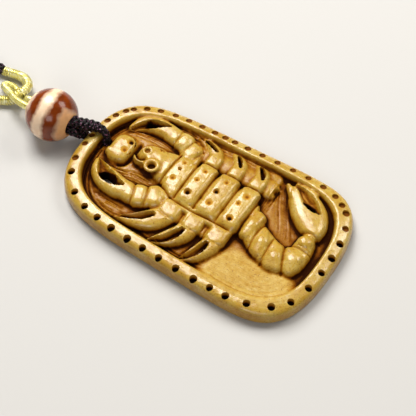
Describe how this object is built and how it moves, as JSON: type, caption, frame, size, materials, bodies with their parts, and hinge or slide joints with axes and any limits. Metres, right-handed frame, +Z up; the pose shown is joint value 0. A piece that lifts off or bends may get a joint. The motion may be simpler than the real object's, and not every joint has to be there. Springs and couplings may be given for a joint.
{
  "type": "carved scorpion amulet pendant",
  "caption": "Flat carved amulet plate with a pierced scorpion in a dotted rim, hung from a round banded bead and a wrapped loop on a black cord.",
  "frame": {"origin": "The middle of the carved plate's flat back, which lies on the surface.", "axes": "+X along the plate from the hanging hole and the scorpion's head to the stinger end, +Y across the plate to the side of the far claw, +Z up out of the carved face."},
  "size_m": [0.1689, 0.0376, 0.0116],
  "materials": {
    "bone": "polished carved bone, stained brown in the recesses",
    "black_cord": "braided cord with a fine purple fleck",
    "banded_stone": "polished stone in tan, red-brown and cream bands",
    "gold_thread": "metallic thread wound in close turns"
  },
  "bodies": {
    "root": {"amulet": "bone", "hanger_cord": "black_cord", "bead": "banded_stone", "hanger_loop": "gold_thread", "neck_bend": "gold_thread", "neck_cord": "black_cord"}
  },
  "joints": []
}
